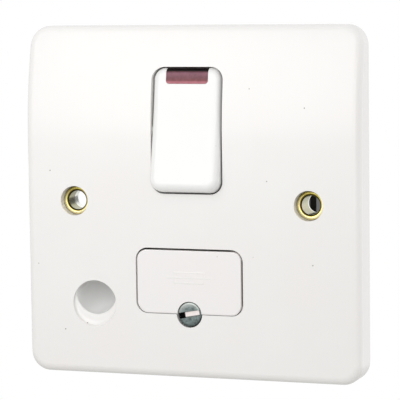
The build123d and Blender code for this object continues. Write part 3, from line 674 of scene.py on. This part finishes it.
def carrier_screw_zinc():
    """Steel under green-grey zinc, a painted highlight on the head's upper edge, a painted reflection on the
    slot's floor.

    The slot floor's left end is painted black, a painted dark reflection, and painted shade greys its right
    end and sides.
    """
    material, tree, shader, place = new_material("zinc_carrier_screw")
    skin = zinc_mottle(tree, shader, place, "#869291", "#535e5c")
    along = add(
        tree,
        "ShaderNodeMapping",
        {"Vector": place, "Location": screw_centre, "Rotation": (0, -screw_slot_turn, 0)},
        vector_type="TEXTURE",
    )
    spot = add(tree, "ShaderNodeSeparateXYZ", {"Vector": along.outputs["Vector"]})
    depth = add(tree, "ShaderNodeSeparateXYZ", {"Vector": place})
    # The slot's floor lies behind the head's front, ahead of its back and within the slot's width
    in_slot = add(
        tree,
        "ShaderNodeMapRange",
        {
            "Value": depth.outputs["Y"],
            "From Min": screw_low.y + slot_floor_depth[0],
            "From Max": screw_low.y + slot_floor_depth[1],
        },
    )
    in_head = add(
        tree,
        "ShaderNodeMapRange",
        {
            "Value": depth.outputs["Y"],
            "From Min": screw_low.y + slot_floor_end_depth[0],
            "From Max": screw_low.y + slot_floor_end_depth[1],
        },
    )
    across = add(tree, "ShaderNodeMath", {0: spot.outputs["Z"]}, operation="ABSOLUTE")
    in_width = add(
        tree,
        "ShaderNodeMapRange",
        {"Value": across.outputs["Value"], "From Min": slot_half_width[0], "From Max": slot_half_width[1]},
    )
    at_depth = add(
        tree,
        "ShaderNodeMath",
        {0: in_slot.outputs["Result"], 1: in_head.outputs["Result"]},
        operation="MULTIPLY",
    )
    slot_floor = add(
        tree,
        "ShaderNodeMath",
        {0: at_depth.outputs["Value"], 1: in_width.outputs["Result"]},
        operation="MULTIPLY",
    )
    # Painted dark reflection at the slot floor's left end
    dark_end = add(
        tree,
        "ShaderNodeMapRange",
        {"Value": spot.outputs["X"], "From Min": slot_dark_end[0], "From Max": slot_dark_end[1]},
    )
    # Painted reflection across the floor's middle, with painted shade along its sides and at its right end
    in_reflection = add(
        tree,
        "ShaderNodeMapRange",
        {"Value": across.outputs["Value"], "From Min": slot_reflection_half[0], "From Max": slot_reflection_half[1]},
    )
    short_of_end = add(
        tree,
        "ShaderNodeMapRange",
        {"Value": spot.outputs["X"], "From Min": slot_reflection_end[0], "From Max": slot_reflection_end[1]},
    )
    slot_reflection = add(
        tree,
        "ShaderNodeMath",
        {0: in_reflection.outputs["Result"], 1: short_of_end.outputs["Result"]},
        operation="MULTIPLY",
    )
    slot_reflection_tone = add(
        tree,
        "ShaderNodeMix",
        {"Factor": slot_reflection.outputs["Value"], "A": linear("#6d7674"), "B": linear("#f6ece9")},
        data_type="RGBA",
    )
    floor_tone = add(
        tree,
        "ShaderNodeMix",
        {"Factor": dark_end.outputs["Result"], "A": slot_reflection_tone.outputs["Result"], "B": linear("#0c0d0c")},
        data_type="RGBA",
    )
    # The painted highlight on the head's edge is a crescent, because its circle's middle lies below the
    # screw's
    off_middle = add(
        tree,
        "ShaderNodeMapping",
        {
            "Vector": place,
            "Location": (-screw_centre.x - screw_highlight_shift[0], 0, -screw_centre.z - screw_highlight_shift[1]),
            "Scale": (1, 0, 1),
        },
    )
    from_middle = add(tree, "ShaderNodeVectorMath", {0: off_middle.outputs["Vector"]}, operation="LENGTH")
    edge = add(
        tree,
        "ShaderNodeMapRange",
        {"Value": from_middle.outputs["Value"], "From Min": screw_highlight_r[0], "From Max": screw_highlight_r[1]},
    )
    at_front = add(
        tree,
        "ShaderNodeMapRange",
        {
            "Value": depth.outputs["Y"],
            "From Min": screw_low.y + screw_highlight_depth[0],
            "From Max": screw_low.y + screw_highlight_depth[1],
        },
    )
    wear_and_highlight = add(
        tree,
        "ShaderNodeMath",
        {0: edge.outputs["Result"], 1: at_front.outputs["Result"]},
        operation="MULTIPLY",
    )
    skin_with_highlight = add(
        tree,
        "ShaderNodeMix",
        {"Factor": wear_and_highlight.outputs["Value"], "A": skin, "B": linear("#b3b8b4")},
        data_type="RGBA",
    )
    colour = add(
        tree,
        "ShaderNodeMix",
        {
            "Factor": slot_floor.outputs["Value"],
            "A": skin_with_highlight.outputs["Result"],
            "B": floor_tone.outputs["Result"],
        },
        data_type="RGBA",
    )
    tree.links.new(colour.outputs["Result"], shader.inputs["Base Color"])
    return material


def strip_metal(name, pale, dull, roughness):
    """Rolled strip, stamped: fine upright draw lines and a soft tarnish."""
    material, tree, shader, place = new_material(name)
    tarnish_and_shade = add(tree, "ShaderNodeTexNoise", {"Vector": place, "Scale": per(strip_tarnish), "Detail": 4.0})
    tone = add(tree, "ShaderNodeValToRGB", {"Fac": tarnish_and_shade.outputs["Fac"]}, stops=[(0.3, dull), (0.65, pale)])
    tree.links.new(tone.outputs["Color"], shader.inputs["Base Color"])
    drawn = add(
        tree,
        "ShaderNodeMapping",
        {"Vector": place, "Scale": (per(strip_line), per(strip_line), per(strip_line_length))},
    )
    lines = add(tree, "ShaderNodeTexNoise", {"Vector": drawn.outputs["Vector"], "Scale": 1.0, "Detail": 2.0})
    bump = add(
        tree,
        "ShaderNodeBump",
        {"Height": lines.outputs["Fac"], "Strength": 0.15, "Distance": 0.01 * mm},
    )
    tree.links.new(bump.outputs["Normal"], shader.inputs["Normal"])
    shader.inputs["Metallic"].default_value = 1.0
    shader.inputs["Roughness"].default_value = roughness
    return material


def fired_ceramic():
    """Steatite tube, fired unglazed: warm off-white with a fine chalky grain."""
    material, tree, shader, place = new_material("steatite_fired")
    grain = add(tree, "ShaderNodeTexNoise", {"Vector": place, "Scale": per(ceramic_grain), "Detail": 3.0})
    tone = add(
        tree,
        "ShaderNodeValToRGB",
        {"Fac": grain.outputs["Fac"]},
        stops=[(0.3, "#d8d0c2"), (0.7, "#e9e3d8")],
    )
    tree.links.new(tone.outputs["Color"], shader.inputs["Base Color"])
    bump = add(
        tree,
        "ShaderNodeBump",
        {"Height": grain.outputs["Fac"], "Strength": 0.2, "Distance": 0.03 * mm},
    )
    tree.links.new(bump.outputs["Normal"], shader.inputs["Normal"])
    shader.inputs["Roughness"].default_value = 0.6
    return material


def natural_nylon():
    """Unpigmented nylon, moulded: milky, with a soft cloud in it."""
    material, tree, shader, place = new_material("nylon_natural")
    cloud = add(tree, "ShaderNodeTexNoise", {"Vector": place, "Scale": per(nylon_cloud), "Detail": 2.0})
    tone = add(
        tree,
        "ShaderNodeValToRGB",
        {"Fac": cloud.outputs["Fac"]},
        stops=[(0.3, "#d9d4c6"), (0.7, "#e6e2d6")],
    )
    tree.links.new(tone.outputs["Color"], shader.inputs["Base Color"])
    shader.inputs["Roughness"].default_value = 0.4
    return material


def lamp_glass():
    """Soda glass, drawn and sealed: clear with a faint warm cast."""
    material, tree, shader, place = new_material("soda_glass_drawn")
    ripple = add(tree, "ShaderNodeTexNoise", {"Vector": place, "Scale": per(glass_ripple), "Detail": 1.0})
    bump = add(
        tree,
        "ShaderNodeBump",
        {"Height": ripple.outputs["Fac"], "Strength": 0.1, "Distance": 0.05 * mm},
    )
    tree.links.new(bump.outputs["Normal"], shader.inputs["Normal"])
    shader.inputs["Base Color"].default_value = linear("#fbeee2")
    shader.inputs["Roughness"].default_value = 0.03
    shader.inputs["IOR"].default_value = 1.52
    shader.inputs["Transmission Weight"].default_value = 0.95
    return material


def pick(piece):
    """Selects one piece alone and makes it the active one."""
    bpy.ops.object.select_all(action="DESELECT")
    bpy.context.view_layer.objects.active = piece
    piece.select_set(True)


def edit(piece):
    """Opens one piece alone in edit mode with all of it selected."""
    pick(piece)
    bpy.ops.object.mode_set(mode="EDIT")
    bpy.ops.mesh.select_all(action="SELECT")


def modify(piece, kind, **settings):
    """Adds one modifier with its settings and applies it."""
    pick(piece)
    modifier = piece.modifiers.new(kind.lower(), kind)
    for key, value in settings.items():
        setattr(modifier, key, value)
    bpy.ops.object.modifier_apply(modifier=modifier.name)


def shade(piece, angle):
    """Smooths a piece, with its flat faces kept flat and its edges sharp past the angle."""
    pick(piece)
    bpy.ops.mesh.customdata_custom_splitnormals_clear()
    bpy.ops.object.shade_smooth_by_angle(angle=math.radians(angle))
    modify(piece, "WEIGHTED_NORMAL", keep_sharp=True)


def smooth_copy(node, body, material, angle):
    """A merged, smooth-shaded copy of a CAD node that stands for it, with its edges sharp past the angle."""
    piece = bpy.data.objects.new(node + "_finish", nodes[node].data.copy())
    bpy.context.scene.collection.objects.link(piece)
    edit(piece)
    bpy.ops.mesh.remove_doubles(threshold=merge_distance)
    bpy.ops.object.mode_set(mode="OBJECT")
    shade(piece, angle)
    piece.data.materials.clear()
    piece.data.materials.append(material)
    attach(piece, body)
    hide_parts(node)
    return piece


def mouth_share(spot):
    """Share of the way from the flex mouth's rim to its passage, or None for a point off the mouth's wall."""
    share = (spot.y - plate_low.y) / flex_mouth_depth
    ring_centre = flex_mouth_centre.lerp(flex_bore_centre, share)
    ring_r = flex_mouth_r + share * (flex_bore_r - flex_mouth_r)
    off_ring = (Vector((spot.x, spot.z)) - ring_centre).length - ring_r
    on_wall = abs(off_ring) <= flex_wall_slack
    between_ends = -flex_end_slack < share < 1 + flex_end_slack
    return share if on_wall and between_ends else None


def dish_flex_mouth(plate):
    """Cuts the flex outlet's mouth into rings and sets their depths: a dish with a round inner lip."""
    for share, _ in flex_dish:
        edit(plate)
        bpy.ops.mesh.select_mode(type="FACE")
        bpy.ops.mesh.select_all(action="DESELECT")
        bpy.ops.object.mode_set(mode="OBJECT")
        corners = plate.data.vertices
        for face in plate.data.polygons:
            face.select = all(mouth_share(corners[index].co) is not None for index in face.vertices)
        bpy.ops.object.mode_set(mode="EDIT")
        cut_y = plate_low.y + share * flex_mouth_depth
        bpy.ops.mesh.bisect(plane_co=(0, cut_y, 0), plane_no=(0, 1, 0))
        bpy.ops.object.mode_set(mode="OBJECT")
    for vertex in plate.data.vertices:
        share = mouth_share(vertex.co)
        if share is not None:
            nearest = min(flex_dish, key=lambda ring: abs(ring[0] - share))
            if abs(nearest[0] - share) < flex_ring_slack:
                vertex.co.y = plate_low.y + nearest[1] * flex_mouth_depth
    shade(plate, plate_sharp_angle)


def settle_carrier(carrier):
    """Lets the carrier's front edges down and to the left, and draws its notch in round the screw's head."""
    for vertex in carrier.data.vertices:
        near_low = max(0, 1 - abs(vertex.co.z - carrier_face_low_z) / carrier_settle_reach)
        near_top = max(0, 1 - (carrier_high.z - vertex.co.z) / carrier_settle_reach)
        near_right = max(0, 1 - (carrier_high.x - vertex.co.x) / carrier_settle_reach)
        if vertex.co.y < carrier_low.y + carrier_settle_depth:
            vertex.co.z -= carrier_settle_low * near_low + carrier_settle_top * near_top
            vertex.co.x -= carrier_settle_right * near_right
        around = Vector((vertex.co.x - screw_centre.x, vertex.co.z - screw_centre.z))
        if abs(around.length - carrier_notch_r) < carrier_notch_slack:
            around *= carrier_notch_closed_r / around.length
            vertex.co.x = screw_centre.x + around.x
            vertex.co.z = screw_centre.z + around.y
    shade(carrier, sharp_angle)


def cut_thread(screw, material):
    """Turns the shank's free length down to the thread's root, and winds the thread round it."""
    start = screw_low.y + screw_head_height + thread_start
    shoulder = start + thread_shoulder
    edit(screw)
    bpy.ops.mesh.bisect(plane_co=(0, start, 0), plane_no=(0, 1, 0))
    bpy.ops.mesh.select_all(action="SELECT")
    bpy.ops.mesh.bisect(plane_co=(0, shoulder, 0), plane_no=(0, 1, 0))
    bpy.ops.object.mode_set(mode="OBJECT")
    for vertex in screw.data.vertices:
        across = Vector((vertex.co.x - screw_centre.x, vertex.co.z - screw_centre.z))
        if vertex.co.y > shoulder - thread_shoulder / 2 and across.length > thread_root_r:
            across *= thread_root_r / across.length
            vertex.co.x = screw_centre.x + across.x
            vertex.co.z = screw_centre.z + across.y
    shade(screw, sharp_angle)
    bpy.ops.object.select_all(action="DESELECT")
    bpy.ops.mesh.primitive_plane_add(size=1)
    thread = bpy.context.active_object
    thread.name = "carrier_screw_thread"
    # The plane's corners become the thread's profile: wide at the root, narrow at the crest
    for vertex in thread.data.vertices:
        at_crest = vertex.co.x > 0
        side = math.copysign(1, vertex.co.y)
        vertex.co.x = thread_crest_r if at_crest else thread_root_r - thread_bite
        vertex.co.y = side * (thread_crest_half if at_crest else thread_root_half)
    edit(thread)
    bpy.ops.mesh.delete(type="ONLY_FACE")
    bpy.ops.object.mode_set(mode="OBJECT")
    # Half a pitch stays free at each end
    turns = int((screw_high.y - thread_end_gap - shoulder) / thread_pitch) - 1
    modify(
        thread,
        "SCREW",
        axis="Y",
        screw_offset=thread_pitch,
        iterations=turns,
        steps=thread_steps,
        render_steps=thread_steps,
    )
    edit(thread)
    bpy.ops.mesh.remove_doubles(threshold=merge_distance)
    bpy.ops.mesh.fill_holes(sides=4)
    bpy.ops.mesh.normals_make_consistent(inside=False)
    bpy.ops.transform.translate(value=(screw_centre.x, shoulder + thread_pitch / 2, screw_centre.z))
    bpy.ops.object.mode_set(mode="OBJECT")
    bpy.ops.object.shade_smooth_by_angle(angle=math.radians(thread_sharp_angle))
    thread.data.materials.append(material)
    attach(thread, "screw")


def build_fuse_sign(material):
    """Faint raised fuse sign on the carrier: a grid drawn to the sign's lines, less its open cells."""
    half_wide = sign_box[0] / 2
    half_tall = sign_box[1] / 2
    inner_wide = half_wide - sign_line
    inner_tall = half_tall - sign_line
    end = half_wide + sign_lead
    columns = [-end, -half_wide, -inner_wide, inner_wide, half_wide, end]
    rows = [-half_tall, -inner_tall, -sign_line / 2, sign_line / 2, inner_tall, half_tall]
    cells = len(columns) - 1
    bpy.ops.object.select_all(action="DESELECT")
    bpy.ops.mesh.primitive_grid_add(x_subdivisions=cells, y_subdivisions=cells, size=cells)
    sign = bpy.context.active_object
    sign.name = "fuse_sign"
    # Columns of cells are counted from the left and rows from below
    open_cells = []
    for face in sign.data.polygons:
        column = round(face.center.x + cells / 2 - 0.5)
        row = round(face.center.y + cells / 2 - 0.5)
        in_box_side = column in (1, 3)
        in_wire = row == 2
        in_box_edge = column == 2 and row in (0, 4)
        if not (in_box_side or in_wire or in_box_edge):
            open_cells.append(face.index)
    for vertex in sign.data.vertices:
        column = round(vertex.co.x + cells / 2)
        row = round(vertex.co.y + cells / 2)
        vertex.co = (columns[column], 0, rows[row])
    edit(sign)
    bpy.ops.mesh.select_all(action="DESELECT")
    bpy.ops.mesh.select_mode(type="FACE")
    bpy.ops.object.mode_set(mode="OBJECT")
    for index in open_cells:
        sign.data.polygons[index].select = True
    bpy.ops.object.mode_set(mode="EDIT")
    bpy.ops.mesh.delete(type="FACE")
    bpy.ops.mesh.select_all(action="SELECT")
    bpy.ops.mesh.normals_make_consistent(inside=False)
    bpy.ops.transform.translate(
        value=(carrier_centre.x, carrier_low.y + sign_sink, carrier_face_z + sign_above_middle)
    )
    bpy.ops.object.mode_set(mode="OBJECT")
    modify(sign, "SOLIDIFY", thickness=sign_rise + sign_sink, offset=0.0)
    modify(sign, "BEVEL", width=sign_edge, segments=2)
    edit(sign)
    bpy.ops.mesh.normals_make_consistent(inside=False)
    bpy.ops.object.mode_set(mode="OBJECT")
    bpy.ops.object.shade_smooth_by_angle(angle=math.radians(sharp_angle))
    sign.data.materials.append(material)
    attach(sign, "carrier")


def seen_straight(tree):
    """1 for rays from the camera, from gloss or through glass, else 0."""
    path = add(tree, "ShaderNodeLightPath")
    seen = add(
        tree,
        "ShaderNodeMath",
        {0: path.outputs["Is Camera Ray"], 1: path.outputs["Is Glossy Ray"]},
        operation="ADD",
    )
    shown = add(
        tree,
        "ShaderNodeMath",
        {0: seen.outputs["Value"], 1: path.outputs["Is Transmission Ray"]},
        operation="ADD",
        use_clamp=True,
    )
    return shown.outputs["Value"]


def build_floor():
    """Pale floor that keeps the shadow near the unit and runs out to white."""
    bpy.ops.object.select_all(action="DESELECT")
    bpy.ops.mesh.primitive_plane_add(size=2 * floor_half, location=(0, 0, floor_z))
    floor = bpy.context.active_object
    floor.name = "floor"
    bpy.ops.object.transform_apply(location=True)
    material, tree, shader, place = new_material("pale_floor")
    reach = add(tree, "ShaderNodeVectorMath", {0: place, 1: (0, 0, -floor_z)}, operation="ADD")
    radius = add(tree, "ShaderNodeVectorMath", {0: reach.outputs["Vector"]}, operation="LENGTH")
    away = add(
        tree,
        "ShaderNodeMapRange",
        {"Value": radius.outputs["Value"], "From Min": near_floor, "From Max": far_floor},
        interpolation_type="SMOOTHSTEP",
    )
    fade = add(
        tree,
        "ShaderNodeMath",
        {0: seen_straight(tree), 1: away.outputs["Result"]},
        operation="MULTIPLY",
    )
    white = add(tree, "ShaderNodeEmission", {"Strength": 1.0})
    blend = add(
        tree,
        "ShaderNodeMixShader",
        {"Fac": fade.outputs["Value"], 1: shader.outputs["BSDF"], 2: white.outputs["Emission"]},
    )
    shader.inputs["Base Color"].default_value = linear("#d6d6d4")
    shader.inputs["Roughness"].default_value = 0.8
    tree.links.new(blend.outputs["Shader"], tree.nodes["Material Output"].inputs["Surface"])
    floor.data.materials.append(material)


def build_world():
    """Soft even light that is white where it is seen straight, in metal or through glass."""
    world = bpy.data.worlds.new("studio")
    bpy.context.scene.world = world
    world.use_nodes = True
    tree = world.node_tree
    strength = add(
        tree,
        "ShaderNodeMapRange",
        {"Value": seen_straight(tree), "To Min": ambient, "To Max": 1.0},
    )
    background = tree.nodes["Background"]
    background.inputs["Color"].default_value = (1.0, 1.0, 1.0, 1.0)
    tree.links.new(strength.outputs["Result"], background.inputs["Strength"])


def soft_light(name, place, size, power):
    """A square soft box aimed at the unit."""
    light = bpy.data.lights.new(name, "AREA")
    light.size = size
    light.energy = power
    lamp = bpy.data.objects.new(name, light)
    bpy.context.scene.collection.objects.link(lamp)
    lamp.location = place
    lamp.rotation_euler = (-Vector(place)).to_track_quat("-Z", "Y").to_euler()


def build_camera():
    """Long lens in front of the unit, to its right and a little above."""
    back = Vector((
        math.sin(view_yaw) * math.cos(view_pitch),
        -math.cos(view_yaw) * math.cos(view_pitch),
        math.sin(view_pitch),
    ))
    right = (-back).cross(Vector((0, 0, 1))).normalized()
    up = right.cross(-back)
    turned_right = math.cos(view_roll) * right + math.sin(view_roll) * up
    turned_up = math.cos(view_roll) * up - math.sin(view_roll) * right
    lens = bpy.data.cameras.new("camera")
    lens.sensor_width = sensor_mm
    lens.lens = sensor_mm * focal_px / photo_size
    lens.clip_start = view_clip
    camera = bpy.data.objects.new("camera", lens)
    bpy.context.scene.collection.objects.link(camera)
    turn = Matrix((turned_right, turned_up, back)).transposed()
    camera.matrix_world = Matrix.Translation(view_target + back * view_distance) @ turn.to_4x4()
    bpy.context.scene.camera = camera


body_of = {node: body for body, members in frame["record"]["behaviour"]["bodies"].items() for node in members}
slot_of = {part["node"]: part["material_slot"] for part in frame["record"]["subparts"]}
# The finish of each material slot, and of the nodes that have their own
finish_of = {
    "plate_white": white_moulding(
        "urea_white_plate",
        body="#f1f0ee",
        cast="#f1eeec",
        roughness=0.24,
        # Painted shade on the rocker opening's right wall
        shaded_wall=(rocker_open_centre, rocker_open_half, rocker_open_corner),
        # Painted light in the flex outlet's passage
        lit_passage=(flex_bore_centre, flex_bore_r),
    ),
    "base_black": black_moulding(),
    "clamp_white": white_moulding("urea_white_clamp", body="#eeeeea", cast="#e9e9e5", roughness=0.35),
    "lens_red": red_lens(),
    "lamp_glass": lamp_glass(),
    "fuse_ceramic": fired_ceramic(),
    "plated_metal": strip_metal("nickel_strip", pale="#d8d6d0", dull="#b3b0a9", roughness=0.22),
    "zinc_steel": zinc_steel(),
    "plunger_plastic": natural_nylon(),
    "brass": strip_metal("brass_strip", pale="#dcbd6b", dull="#b08c3e", roughness=0.3),
}
own_finish = {
    "rocker": white_moulding("urea_white_rocker", body="#f1f1f0", cast="#efefed", roughness=0.24),
    "fuse_carrier": white_moulding(
        "urea_white_carrier",
        body="#f2f0ef",
        cast="#f2eeed",
        roughness=0.24,
        # Painted shade on the carrier's right and upper sides, along its gap
        shaded_past=(carrier_high.x - carrier_settle_right, carrier_high.z - carrier_settle_top),
    ),
    "carrier_screw": carrier_screw_zinc(),
}
for side, centre in eyelet_centre.items():
    own_finish["eyelet_" + side] = rolled_brass("brass_eyelet_" + side, centre, eyelet_painted_light_from[side])

# Every node is shown by its smooth copy
sharp_from = {"front_plate": plate_sharp_angle}
pieces = {}
for node in sorted(nodes):
    finish = own_finish.get(node, finish_of[slot_of[node]])
    pieces[node] = smooth_copy(node, body_of[node], finish, sharp_from.get(node, sharp_angle))
dish_flex_mouth(pieces["front_plate"])
settle_carrier(pieces["fuse_carrier"])
cut_thread(pieces["carrier_screw"], finish_of["zinc_steel"])
build_fuse_sign(finish_of["plate_white"])

build_floor()
build_world()
for name, (place, size, power) in soft_boxes.items():
    soft_light(name, place, size, power)
build_camera()
bpy.context.scene.view_settings.view_transform = "Standard"
